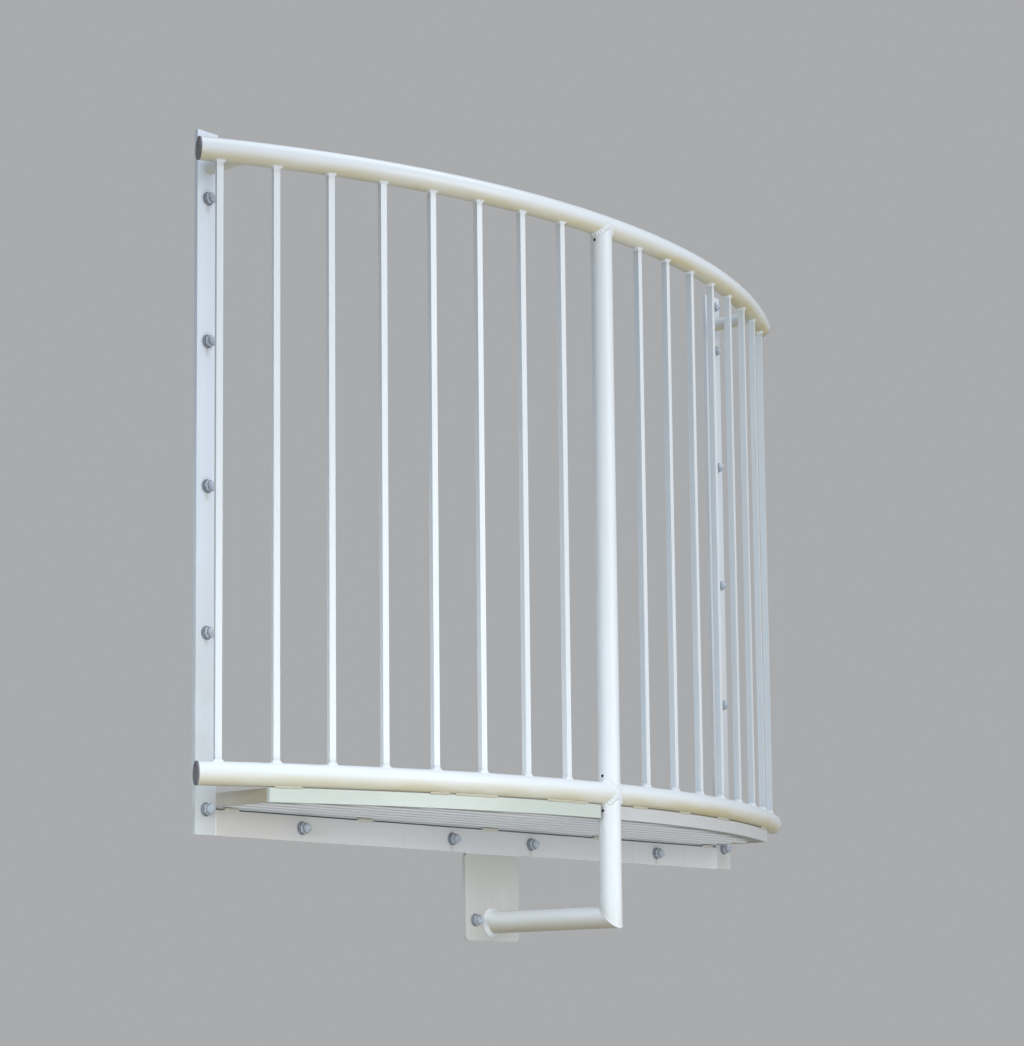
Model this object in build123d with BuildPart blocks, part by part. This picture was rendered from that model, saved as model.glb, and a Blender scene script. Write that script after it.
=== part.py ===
from build123d import *
from math import asin, cos, degrees, radians, sin, sqrt
import os

os.makedirs("parts", exist_ok=True)

# The wall is the plane Y = 0 and the balcony stands out of it towards -Y, seen from -Y with +X
# to the right. The origin is midway along the sill plate's wall face.

# Wall frame of flat bar
frame_width = 1576
flat_width = 50
flat_thickness = 8
sill_plate_height = 46
origin_rise = 25
plate_rise = 66.3
drop_plate_width = 158
drop_plate_height = 170
drop_plate_corner = 11

# Anchor holes, each placed from the edge or joint that it keeps to
anchor_hole = 14
top_anchor_inset = 25
top_anchor_gap = 100
column_count = 4
lowest_column_anchor = 358
corner_anchor_height = 45
sill_anchor_height = 24
outer_sill_anchor_inset = 213
inner_sill_anchor_gap = 38
drop_anchor_side_inset = 27
drop_anchor_rise = 40

# Bowed rails of round tube, closed at the ends by caps
rail_radius = 1696
bow_depth = 305
rail_diameter = 42.4
rail_spacing = 1110
rail_reach = 60
cap_thickness = 3

# Square bars and the middle post
bars_per_side = 8
bar_size = 12
end_bar_inset = 36
post_diameter = 42
post_wall = 3.2
vent_diameter = 6
vent_offset = 33
strut_rise = 36

# Root gap that a weld fills between a coped tube end and the rail
cope_gap = 0.15

# Standoff tubes behind the handrail
standoff_diameter = 26.9
standoff_wall = 2.6

# Deck
bearing_strip_width = 4
bearing_strip_height = 6
edging_height = 25
edging_thickness = 6
edging_drop = 1
left_edging_post_gap = 13
right_edging_post_gap = 2
edging_rail_gap = 1.5
sheet_thickness = 2.5
rib_pitch = 40
rib_height = 8
rib_crest = 12
rib_slope_run = 5
deck_post_clearance = 3

# Levels above the origin
sill_bottom = -origin_rise
sill_top = sill_bottom + sill_plate_height
deck_underside = sill_top + bearing_strip_height
edging_bottom = deck_underside - edging_drop
edging_top = edging_bottom + edging_height
bottom_rail_height = edging_top + edging_rail_gap + rail_diameter / 2
handrail_height = bottom_rail_height + rail_spacing
plate_top = handrail_height + plate_rise
drop_bottom = sill_bottom - drop_plate_height
strut_height = drop_bottom + strut_rise

# Places across the wall and out from it
plate_centre = frame_width / 2 - flat_width / 2
return_face = frame_width / 2 - flat_width
bow_centre = rail_radius - bow_depth
half_angle = degrees(asin((frame_width / 2 + rail_reach) / rail_radius))
half_rail = radians(half_angle) * rail_radius
bar_run = half_rail - end_bar_inset - post_diameter / 2 + bar_size / 2
bar_pitch = bar_run / bars_per_side
first_bar = post_diameter / 2 + bar_pitch - bar_size / 2
edging_inner_radius = rail_radius
edging_outer_radius = edging_inner_radius + edging_thickness
bow_axis = Axis((0, bow_centre, 0), (0, 0, 1))


def angle_at(arc_length):
    """Turn about the bow's centre, in degrees, of a point this far along the rail from its middle."""
    return degrees(arc_length / rail_radius)


def radial_plane(angle):
    """Upright plane through the bow's axis: local x runs outwards, local y runs up."""
    turn = radians(angle)
    outwards = (sin(turn), -cos(turn), 0)
    along = (-cos(turn), -sin(turn), 0)
    return Plane(origin=(0, bow_centre, 0), x_dir=outwards, z_dir=along)


def rail_depth(x):
    """How far the rail's centreline stands off the wall at this distance along the wall."""
    return sqrt(rail_radius**2 - x**2) - bow_centre


def write(piece, name):
    piece.label = name
    export_step(piece, f"parts/{name}.step")


def coping_tool(x, height):
    """Straight round cutter along the rail where a tube at this place meets its inner side."""
    angle = degrees(asin(x / (rail_radius - rail_diameter / 2)))
    with BuildPart() as tool:
        with BuildSketch(radial_plane(angle)):
            with Locations((rail_radius, height)):
                Circle(rail_diameter / 2 + cope_gap)
        extrude(amount=post_diameter, both=True)
    return tool.part


# Handrail and bottom rail, bowed about one upright axis
def bowed_rail(height, name):
    with BuildPart() as rail:
        with BuildSketch(radial_plane(-half_angle)):
            with Locations((rail_radius, height)):
                Circle(rail_diameter / 2)
        revolve(axis=bow_axis, revolution_arc=2 * half_angle)
    write(rail.part, name)
    return rail.part


handrail = bowed_rail(handrail_height, "handrail")
bottom_rail = bowed_rail(bottom_rail_height, "bottom_rail")


# Left and right wall plates
column_top = plate_top - top_anchor_inset - top_anchor_gap
column_bottom = sill_bottom + lowest_column_anchor
column_pitch = (column_top - column_bottom) / (column_count - 1)
plate_anchor_heights = [
    plate_top - top_anchor_inset,
    *[column_top - column_pitch * i for i in range(column_count)],
    sill_bottom + corner_anchor_height,
]


def wall_plate(side, name):
    with BuildPart() as plate:
        with BuildSketch(Plane.XZ):
            with Locations((side * plate_centre, (plate_top + sill_bottom) / 2)):
                Rectangle(flat_width, plate_top - sill_bottom)
            with Locations([(side * plate_centre, height) for height in plate_anchor_heights]):
                Circle(anchor_hole / 2, mode=Mode.SUBTRACT)
        extrude(amount=flat_thickness)
    write(plate.part, name)


wall_plate(-1, "left_wall_plate")
wall_plate(1, "right_wall_plate")


# Sill plate between the wall plates
sill_anchor_level = sill_bottom + sill_anchor_height
outer_sill_anchor = return_face - outer_sill_anchor_inset
inner_sill_anchor = drop_plate_width / 2 + inner_sill_anchor_gap
sill_anchors = [
    (side * distance, sill_anchor_level)
    for distance in (outer_sill_anchor, inner_sill_anchor)
    for side in (-1, 1)
]
with BuildPart() as sill_plate:
    with BuildSketch(Plane.XZ):
        with Locations((0, (sill_top + sill_bottom) / 2)):
            Rectangle(2 * return_face, sill_plate_height)
        with Locations(sill_anchors):
            Circle(anchor_hole / 2, mode=Mode.SUBTRACT)
    extrude(amount=flat_thickness)
write(sill_plate.part, "sill_wall_plate")


# Drop plate under the middle of the sill plate
drop_anchor_reach = drop_plate_width / 2 - drop_anchor_side_inset
drop_anchors = [(side * drop_anchor_reach, drop_bottom + drop_anchor_rise) for side in (-1, 1)]
with BuildPart() as drop_plate:
    with BuildSketch(Plane.XZ) as drop_outline:
        with Locations((0, (sill_bottom + drop_bottom) / 2)):
            Rectangle(drop_plate_width, drop_plate_height)
        fillet(drop_outline.vertices().group_by(Axis.Z)[0], drop_plate_corner)
        with Locations(drop_anchors):
            Circle(anchor_hole / 2, mode=Mode.SUBTRACT)
    extrude(amount=flat_thickness)
write(drop_plate.part, "drop_plate")


# End caps on both ends of both rails
def end_cap(side, height, name):
    end = radial_plane(side * half_angle)
    outwards = end if side < 0 else Plane(end.origin, end.x_dir, -end.z_dir)
    centre = (rail_radius, height if side < 0 else -height)
    with BuildPart() as cap:
        with BuildSketch(outwards):
            with Locations(centre):
                Circle(rail_diameter / 2)
        extrude(amount=cap_thickness)
    write(cap.part, name)


for rail_name, rail_height in (("handrail", handrail_height), ("bottom_rail", bottom_rail_height)):
    end_cap(-1, rail_height, f"{rail_name}_left_cap")
    end_cap(1, rail_height, f"{rail_name}_right_cap")


# Square bars, coped to both rails and turned to follow the bow
def baluster(arc_length, name):
    angle = angle_at(arc_length)
    middle = bow_axis.position + Vector(0, -rail_radius, bottom_rail_height).rotate(Axis.Z, angle)
    with BuildPart() as bar:
        with BuildSketch(Plane(middle, x_dir=Vector(1, 0, 0).rotate(Axis.Z, angle))):
            Rectangle(bar_size, bar_size)
        extrude(amount=rail_spacing)
        add([bottom_rail, handrail], mode=Mode.SUBTRACT)
    write(bar.part, name)


bar_places = [first_bar + bar_pitch * i for i in range(bars_per_side)]
for number, place in enumerate([-p for p in reversed(bar_places)] + bar_places, start=1):
    baluster(place, f"baluster_{number:02d}")


# Middle post above the bottom rail, coped to both rails
def vent_drill(height):
    """Drill for a small round hole through the post's wall on its -X side."""
    with BuildPart() as drill:
        with BuildSketch(Plane.YZ.offset(-post_diameter / 2)):
            with Locations((-bow_depth, height)):
                Circle(vent_diameter / 2)
        extrude(amount=post_diameter / 2)
    return drill.part


handrail_cope = coping_tool(0, handrail_height)
bottom_rail_cope = coping_tool(0, bottom_rail_height)
upper_vents = [
    vent_drill(bottom_rail_height + vent_offset),
    vent_drill(handrail_height - vent_offset),
]
with BuildPart() as upper_post:
    with BuildSketch(Plane.XY.offset(bottom_rail_height)):
        with Locations((0, -bow_depth)):
            Circle(post_diameter / 2)
            Circle(post_diameter / 2 - post_wall, mode=Mode.SUBTRACT)
    extrude(amount=rail_spacing)
    add([bottom_rail_cope, handrail_cope, *upper_vents], mode=Mode.SUBTRACT)
write(upper_post.part, "upper_post")


# Lower post and strut, mitred to each other at the elbow
mitre = Plane(origin=(0, -bow_depth, strut_height), z_dir=(0, -1, 1))
lower_vent = vent_drill(bottom_rail_height - vent_offset)
with BuildPart() as lower_post:
    with BuildSketch(Plane.XY.offset(strut_height - post_diameter)):
        with Locations((0, -bow_depth)):
            Circle(post_diameter / 2)
            Circle(post_diameter / 2 - post_wall, mode=Mode.SUBTRACT)
    extrude(amount=bottom_rail_height - strut_height + post_diameter)
    split(bisect_by=mitre, keep=Keep.TOP)
    add([bottom_rail_cope, lower_vent], mode=Mode.SUBTRACT)
write(lower_post.part, "lower_post")

with BuildPart() as strut:
    with BuildSketch(Plane.XZ.offset(flat_thickness)):
        with Locations((0, strut_height)):
            Circle(post_diameter / 2)
            Circle(post_diameter / 2 - post_wall, mode=Mode.SUBTRACT)
    extrude(amount=bow_depth - flat_thickness + post_diameter)
    split(bisect_by=mitre, keep=Keep.BOTTOM)
write(strut.part, "strut")


# Standoff tubes between the wall plates and the handrail
def standoff(side, name):
    cope = coping_tool(side * plate_centre, handrail_height)
    with BuildPart() as tube:
        with BuildSketch(Plane.XZ.offset(flat_thickness)):
            with Locations((side * plate_centre, handrail_height)):
                Circle(standoff_diameter / 2)
                Circle(standoff_diameter / 2 - standoff_wall, mode=Mode.SUBTRACT)
        extrude(amount=rail_depth(plate_centre) - flat_thickness)
        add(cope, mode=Mode.SUBTRACT)
    write(tube.part, name)


standoff(-1, "left_standoff")
standoff(1, "right_standoff")


# Bearing strip on the sill plate's top edge, set back from its face
inside_returns = 2 * (return_face - edging_thickness)
with BuildPart() as bearing_strip:
    with BuildSketch(Plane.XY.offset(sill_top)):
        with Locations((0, -bearing_strip_width / 2)):
            Rectangle(inside_returns, bearing_strip_width)
    extrude(amount=bearing_strip_height)
write(bearing_strip.part, "deck_bearing_strip")


# Straight returns of the deck edging, from the wall to the front edging
def deck_return(side, name):
    with BuildPart() as bar:
        with BuildSketch(Plane.XY.offset(edging_bottom)):
            with Locations((side * (return_face - edging_thickness / 2), -bow_depth / 2)):
                Rectangle(edging_thickness, bow_depth)
            with Locations((0, bow_centre)):
                Circle(edging_inner_radius, mode=Mode.INTERSECT)
        extrude(amount=edging_height)
    write(bar.part, name)


deck_return(-1, "left_deck_return")
deck_return(1, "right_deck_return")


# Bowed front edging just under the bottom rail, in two lengths that stop at the post. The left
# one stops farther off, clear of the lower vent hole
def deck_edging(side, post_gap, name):
    start = post_diameter / 2 + post_gap
    run = return_face - start
    with BuildPart() as bar:
        with BuildSketch(Plane.XY.offset(edging_bottom)):
            with Locations((0, bow_centre)):
                Circle(edging_outer_radius)
                Circle(edging_inner_radius, mode=Mode.SUBTRACT)
            with Locations((side * (start + run / 2), -bow_depth / 2)):
                Rectangle(run, bow_depth + 4 * edging_thickness, mode=Mode.INTERSECT)
        extrude(amount=edging_height)
    write(bar.part, name)


deck_edging(-1, left_edging_post_gap, "left_deck_edging")
deck_edging(1, right_edging_post_gap, "right_deck_edging")


# Ribbed deck sheet: a folded profile along the wall, trimmed to the deck's outline
def fold_points():
    """Underside of the folded sheet as (distance from the wall, height above the underside)."""
    points = [(0, 0)]
    flat = rib_pitch - rib_crest - 2 * rib_slope_run
    start = bearing_strip_width + flat / 2
    while start + rib_pitch < bow_depth:
        points.append((start, 0))
        points.append((start + rib_slope_run, rib_height))
        points.append((start + rib_slope_run + rib_crest, rib_height))
        points.append((start + 2 * rib_slope_run + rib_crest, 0))
        start += rib_pitch
    points.append((bow_depth + rib_pitch, 0))
    return [(-distance, deck_underside + height) for distance, height in points]


with BuildPart() as deck_sheet:
    with BuildSketch(Plane.YZ.offset(-return_face)):
        with BuildLine():
            underside = Polyline(*fold_points())
            offset(
                underside,
                amount=sheet_thickness,
                side=Side.RIGHT,
                kind=Kind.INTERSECTION,
                closed=True,
            )
        make_face()
    extrude(amount=2 * return_face)
    with BuildSketch(Plane.XY.offset(deck_underside)):
        with Locations((0, -bow_depth / 2)):
            Rectangle(inside_returns, bow_depth)
        with Locations((0, bow_centre)):
            Circle(edging_inner_radius, mode=Mode.INTERSECT)
        with Locations((0, -bow_depth)):
            Circle(post_diameter / 2 + deck_post_clearance, mode=Mode.SUBTRACT)
    extrude(amount=rib_height + sheet_thickness, mode=Mode.INTERSECT)
write(deck_sheet.part, "deck_sheet")
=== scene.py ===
"""Finishes, fixings, welds, light and camera for the bowed juliet balcony.

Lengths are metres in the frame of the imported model: the wall is the plane y = 0,
the balcony stands towards -y, x runs to the right seen from outside and z is up.
"""

import math

import bmesh
import bpy
from mathutils import Matrix, Vector, noise


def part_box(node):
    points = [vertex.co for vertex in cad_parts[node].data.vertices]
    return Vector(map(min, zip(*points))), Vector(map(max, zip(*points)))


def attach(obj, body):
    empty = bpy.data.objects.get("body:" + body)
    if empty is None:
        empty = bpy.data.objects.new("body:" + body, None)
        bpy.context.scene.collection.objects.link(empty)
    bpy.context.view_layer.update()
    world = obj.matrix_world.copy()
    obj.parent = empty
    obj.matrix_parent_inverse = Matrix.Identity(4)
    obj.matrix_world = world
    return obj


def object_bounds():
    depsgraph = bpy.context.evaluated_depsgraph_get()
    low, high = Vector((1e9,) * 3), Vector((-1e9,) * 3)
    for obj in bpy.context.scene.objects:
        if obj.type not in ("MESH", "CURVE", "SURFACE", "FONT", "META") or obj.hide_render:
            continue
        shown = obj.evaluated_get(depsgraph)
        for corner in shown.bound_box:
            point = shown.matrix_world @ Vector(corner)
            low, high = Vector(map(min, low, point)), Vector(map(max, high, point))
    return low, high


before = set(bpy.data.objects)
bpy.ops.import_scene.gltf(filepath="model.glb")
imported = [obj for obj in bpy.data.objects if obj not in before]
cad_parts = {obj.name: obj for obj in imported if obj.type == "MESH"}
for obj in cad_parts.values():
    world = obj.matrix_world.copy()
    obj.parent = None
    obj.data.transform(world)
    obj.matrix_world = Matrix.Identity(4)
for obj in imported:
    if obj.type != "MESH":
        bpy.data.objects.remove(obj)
CAD_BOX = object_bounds()
MM = 0.001

# Sizes read from the frame
handrail_low, handrail_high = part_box("handrail")
bottom_rail_low, bottom_rail_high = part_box("bottom_rail")
post_low, post_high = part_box("upper_post")
strut_low, strut_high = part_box("strut")
standoff_low, standoff_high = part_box("right_standoff")
plate_low, plate_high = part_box("right_wall_plate")
sill_low, sill_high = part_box("sill_wall_plate")
drop_low, drop_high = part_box("drop_plate")
strip_low, strip_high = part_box("deck_bearing_strip")
deck_low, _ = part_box("deck_sheet")
_, edging_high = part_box("right_deck_edging")

# The bow of the rails
BOW_RADIUS = 1696 * MM
TUBE_RADIUS = 21.2 * MM
POST_RADIUS = 21 * MM
STANDOFF_RADIUS = (standoff_high.z - standoff_low.z) / 2
POST_Y = (post_low.y + post_high.y) / 2
BOW_AXIS_Y = POST_Y + BOW_RADIUS
HANDRAIL_Z = (handrail_low.z + handrail_high.z) / 2
BOTTOM_RAIL_Z = (bottom_rail_low.z + bottom_rail_high.z) / 2
STRUT_Z = (strut_low.z + strut_high.z) / 2
STANDOFF_X = (standoff_low.x + standoff_high.x) / 2
EDGING_RADIUS = BOW_RADIUS + 6 * MM
BAR_HALF = 6 * MM
BAR_CORNER = 0.6 * MM
BAR_COUNT = 16

# The wall anchors, as places on the face of the plates
PLATE_FACE_Y = plate_low.y
COLUMN_X = (plate_low.x + plate_high.x) / 2
COLUMN_DROPS = (25, 125, 389, 653, 917)
CORNER_ANCHOR_RISE = 45 * MM
COLUMN_Z = [plate_high.z - drop * MM for drop in COLUMN_DROPS]
COLUMN_Z += [plate_low.z + CORNER_ANCHOR_RISE]
SILL_ANCHOR_X = [525 * MM, 117 * MM]
SILL_ANCHOR_Z = sill_low.z + 24 * MM
DROP_ANCHOR_X = drop_high.x - 27 * MM
DROP_ANCHOR_Z = drop_low.z + 40 * MM

# Studs, washers and dome nuts
STUD_RADIUS = 6 * MM
THREAD_PITCH = 1.75 * MM
THREAD_DEPTH = 0.8 * MM
STUD_END = 3 * MM
WASHER_BORE_RADIUS = 6.8 * MM
WASHER_RADIUS = 12.6 * MM
WASHER_THICKNESS = 2.5 * MM
LOCK_WASHER_RADIUS = 10.6 * MM
LOCK_WASHER_EDGE = 0.8 * MM
NUT_BASE = 5.3 * MM
NUT_ACROSS_FLATS = 18.6 * MM
NUT_HEX_HEIGHT = 7.6 * MM
NUT_DOME_RADIUS = 8.3 * MM
NUT_DOME_STEPS = 9
NUT_NECK = 0.7 * MM
NUT_TURN = 2.4
WASHER_STEPS = 48
NUT_STEPS = 72
STUD_STEPS = 36

# Weld pads of the deck: arc lengths along the bow, and middles and lengths along the wall
EDGING_PADS = [
    (-0.753, -0.700),
    (-0.450, -0.407),
    (-0.395, -0.300),
    (-0.180, -0.070),
    (0.064, 0.111),
    (0.230, 0.272),
    (0.397, 0.456),
    (0.690, 0.740),
]
SILL_PADS = [
    (-0.700, 0.034),
    (-0.358, 0.040),
    (-0.004, 0.045),
    (0.335, 0.036),
    (0.706, 0.034),
]
ACROSS_PAD = (0.0, 0.12, 0.3, 0.5, 0.7, 0.88, 1.0)
PAD_TAPER = 4 * MM
PAD_SCALLOP_PITCH = 9 * MM
PAD_SCALLOP = 1.1 * MM
PAD_RIPPLE = 0.35 * MM
PAD_RIPPLE_PITCH = 6 * MM
PAD_WANDER = 0.18
PAD_END_WIDTH = 0.35
PAD_END_CROWN = 0.3
PAD_FULLNESS = 0.8
EDGING_PAD_REACH = 8.5 * MM
EDGING_PAD_LAP = 1.5 * MM
EDGING_PAD_BULGE = 1.2 * MM
SILL_PAD_LAP = 2.2 * MM
SILL_PAD_BULGE = 2.2 * MM

# Weld beads
BAR_TOP_LEG = 5.0 * MM
BAR_BOTTOM_LEG = 7.0 * MM
POST_LEG = 6.5 * MM
STRUT_LEG = 8.0 * MM
MITRE_LEG = 3.5 * MM
STANDOFF_LEG = 4.5 * MM
SEAM_LEG = 1.8 * MM
SEAM_INSET = 0.5 * MM
WELD_STEP = 0.9 * MM
ACROSS_BEAD = (0.0, 0.14, 0.32, 0.5, 0.68, 0.86, 1.0)
BEAD_SINK = 0.25 * MM
BEAD_ROOT_DEPTH = 1.2 * MM
BEAD_CROWN = 0.6
BEAD_UNEVENNESS = 0.16
FOOT_UNEVENNESS = 0.1
BEAD_TAPER = 0.9
BEAD_END_SIZE = 0.35
LUMPS_PER_METRE = 90
RIPPLE_BOW = 0.45
RIPPLE_WANDER = 0.4

# The share of a bead's rise past the model's front that is taken back
BEAD_FLATTENING = 0.75

# Pitch and height of a bead's ripples, and the least crown over its root
FINE_RIPPLE = (3.4 * MM, 0.22 * MM, 0.5 * MM)
COARSE_RIPPLE = (6.2 * MM, 0.9 * MM, 1.2 * MM)


def new_object(name, bm, material):
    """Turns a bmesh into a shown piece that rides with the balcony."""
    bmesh.ops.recalc_face_normals(bm, faces=bm.faces)
    mesh = bpy.data.meshes.new(name)
    bm.to_mesh(mesh)
    bm.free()
    mesh.polygons.foreach_set("use_smooth", [True] * len(mesh.polygons))
    piece = bpy.data.objects.new(name, mesh)
    bpy.context.scene.collection.objects.link(piece)
    mesh.materials.append(material)
    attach(piece, "root")
    return piece


def skin(bm, rings, closed=False):
    """Joins like rings of vertices into a tube, capped unless it closes on itself."""
    following = rings[1:] + rings[:1] if closed else rings[1:]
    for here, there in zip(rings, following):
        for j in range(len(here)):
            k = (j + 1) % len(here)
            bm.faces.new((here[j], here[k], there[k], there[j]))
    if not closed:
        bm.faces.new(rings[0])
        bm.faces.new(list(reversed(rings[-1])))


def toe_layer(bm):
    """The vertex layer that says where a weld's toes are, for its dirt."""
    return bm.verts.layers.float.get("toe") or bm.verts.layers.float.new("toe")


# Surfaces that weld feet are laid on
def tube_centre(point, height):
    """The point of a bowed rail's centreline that is nearest, for a rail at this height."""
    angle = math.atan2(point.x, BOW_AXIS_Y - point.y)
    x = BOW_RADIUS * math.sin(angle)
    y = BOW_AXIS_Y - BOW_RADIUS * math.cos(angle)
    return Vector((x, y, height))


def tube_normal(point, height):
    """Outward normal of a bowed rail at a point of its skin."""
    return (point - tube_centre(point, height)).normalized()


def on_tube(height):
    """A function that moves a point onto the skin of the rail at this height."""
    def snap(point):
        centre = tube_centre(point, height)
        return centre + (point - centre).normalized() * TUBE_RADIUS

    return snap


def anywhere(point):
    """Leaves a point where it is, for weld feet on flat and straight faces."""
    return point


def in_face(normal, other):
    """The direction in the face with this normal that leads towards the other normal."""
    return (other - normal * normal.dot(other)).normalized()


def tapered(travelled, total, leg):
    """The share of its full size that an open bead has this far along its run."""
    edge = min(travelled, total - travelled) / (BEAD_TAPER * leg)
    return max(BEAD_END_SIZE, math.sqrt(min(1.0, edge + 0.08)))


def bead_ring(station, snap_a, snap_b, size, leg, travelled, seed, sample, lump):
    """Points across a bead, from foot to foot over its crown, and its hidden root."""
    root, normal_a, normal_b, run_a, run_b = station
    pitch, height, lift = lump
    run_a = run_a or in_face(normal_a, normal_b)
    run_b = run_b or in_face(normal_b, normal_a)
    outward = (normal_a + normal_b).normalized()
    uneven = 1 + FOOT_UNEVENNESS * noise.noise(sample * 1.7)
    foot_a = snap_a(root + run_a * size * uneven)
    foot_b = snap_b(root + run_b * size)
    middle = (foot_a + foot_b) / 2
    crown = max(BEAD_CROWN * (middle - root).dot(outward), lift * size / leg)
    control = (root + outward * crown) * 2 - middle
    ring = []
    for t in ACROSS_BEAD:
        face = foot_a * (1 - t) ** 2 + control * 2 * t * (1 - t) + foot_b * t * t
        wave = travelled / pitch + RIPPLE_BOW * (2 * t - 1) ** 2 + 0.3 * seed
        wave += RIPPLE_WANDER * noise.noise(sample * 0.8)
        ripple = height * math.sin(2 * math.pi * wave) * math.sin(math.pi * t)
        depth = BEAD_SINK * (1 - math.sin(math.pi * t))
        ring.append(face + outward * (ripple * size / leg) - outward * depth)
    ring.append(root - outward * BEAD_ROOT_DEPTH)
    for point in ring:
        point.y += BEAD_FLATTENING * max(0, CAD_BOX[0].y - point.y)
    return ring


def bead(bm, stations, snap_a, snap_b, leg, closed=True, seed=0.0, lump=FINE_RIPPLE):
    """Lays one rippled weld along stations of (root, normal a, normal b, run a, run b).

    A run is the way from the root to a foot, worked out from the normals where it is None.
    """
    toe = toe_layer(bm)
    rings = []
    travelled = 0.0
    last = stations[0][0]
    total = sum((q[0] - p[0]).length for p, q in zip(stations, stations[1:]))
    for station in stations:
        root = station[0]
        travelled += (root - last).length
        last = root
        lumps = root * LUMPS_PER_METRE
        sample = Vector((lumps.x, lumps.y, lumps.z + seed * 7.3))
        size = leg * (1 + BEAD_UNEVENNESS * noise.noise(sample))
        if not closed:
            size *= tapered(travelled, total, leg)
        ring = bead_ring(station, snap_a, snap_b, size, leg, travelled, seed, sample, lump)
        rings.append([bm.verts.new(point) for point in ring])
        for vert, t in zip(rings[-1], ACROSS_BEAD):
            vert[toe] = (2 * t - 1) ** 4
    skin(bm, rings, closed)


def turns(radius):
    """Angles round a circle, one weld step apart along it."""
    steps = max(24, int(2 * math.pi * radius / WELD_STEP))
    return [2 * math.pi * i / steps for i in range(steps)]


def rounded_square(half, corner, step):
    """Points and outward normals round a square with rounded corners."""
    out = []
    flat = half - corner
    corner_steps = 5
    for side in range(4):
        turn = side * math.pi / 2
        along = Vector((-math.sin(turn), math.cos(turn)))
        away = Vector((math.cos(turn), math.sin(turn)))
        steps = max(2, int(2 * flat / step))
        for i in range(steps):
            offset = -flat + 2 * flat * i / steps
            out.append((away * half + along * offset, away.copy()))
        for i in range(corner_steps):
            swing = turn + math.pi / 2 * i / corner_steps
            normal = Vector((math.cos(swing), math.sin(swing)))
            out.append(((away + along) * flat + normal * corner, normal))
    return out


def circle_outline(radius):
    """Points and outward normals round a circle."""
    normals = [Vector((math.cos(swing), math.sin(swing))) for swing in turns(radius)]
    return [(normal * radius, normal) for normal in normals]


def member_on_rail(bm, centre, angle, outline, height, side, leg, seed, lump=FINE_RIPPLE):
    """Weld where an upright member meets a bowed rail; side is -1 under it, 1 on top."""
    along = Vector((math.cos(angle), math.sin(angle), 0))
    away = Vector((math.sin(angle), -math.cos(angle), 0))
    stations = []
    for place, normal in outline:
        point = centre + along * place.x + away * place.y
        offset = (point.xy - Vector((0, BOW_AXIS_Y))).length - BOW_RADIUS
        rise = math.sqrt(max(TUBE_RADIUS**2 - offset**2, 0))
        root = Vector((point.x, point.y, height + side * rise))
        member_normal = along * normal.x + away * normal.y
        stations.append((root, member_normal, tube_normal(root, height), None, None))
    bead(bm, stations, anywhere, on_tube(height), leg, seed=seed, lump=lump)


def tube_on_plate(bm, centre, radius, leg, seed):
    """Weld round a tube that stands square on the plates' front face."""
    out_of_wall = Vector((0, -1, 0))
    stations = []
    for swing in turns(radius):
        radial = Vector((math.cos(swing), 0, math.sin(swing)))
        stations.append((centre + radial * radius, radial, out_of_wall, None, None))
    bead(bm, stations, anywhere, anywhere, leg, seed=seed)


def standoff_on_rail(bm, side, seed):
    """Weld where a standoff's coped end meets the handrail."""
    stations = []
    for swing in turns(STANDOFF_RADIUS):
        radial = Vector((math.cos(swing), 0, math.sin(swing)))
        x = side * STANDOFF_X + STANDOFF_RADIUS * radial.x
        rise = STANDOFF_RADIUS * radial.z
        reach = BOW_RADIUS - math.sqrt(TUBE_RADIUS**2 - rise**2)
        y = BOW_AXIS_Y - math.sqrt(reach**2 - x**2)
        root = Vector((x, y, HANDRAIL_Z + rise))
        stations.append((root, radial, tube_normal(root, HANDRAIL_Z), None, None))
    bead(bm, stations, anywhere, on_tube(HANDRAIL_Z), STANDOFF_LEG, seed=seed)


def mitre_weld(bm):
    """Weld round the mitre of the lower post and the strut."""
    along_strut, up_post = Vector((0, 1, 0)), Vector((0, 0, 1))
    stations = []
    for swing in turns(POST_RADIUS):
        c, s = math.cos(swing), math.sin(swing)
        root = Vector((POST_RADIUS * c, POST_Y + POST_RADIUS * s, STRUT_Z + POST_RADIUS * s))
        strut_normal, post_normal = Vector((c, 0, s)), Vector((c, s, 0))
        stations.append((root, strut_normal, post_normal, along_strut, up_post))
    bead(bm, stations, anywhere, anywhere, MITRE_LEG, seed=3.1)


def plate_seam(bm, start, end, run, seed):
    """Ground weld between two plates that meet edge to edge; run leads across it."""
    face = Vector((0, -1, 0))
    steps = max(4, int((end - start).length / WELD_STEP))
    stations = [(start.lerp(end, i / steps), face, face, run, -run) for i in range(steps + 1)]
    bead(bm, stations, anywhere, anywhere, SEAM_LEG, closed=False, seed=seed)


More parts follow.
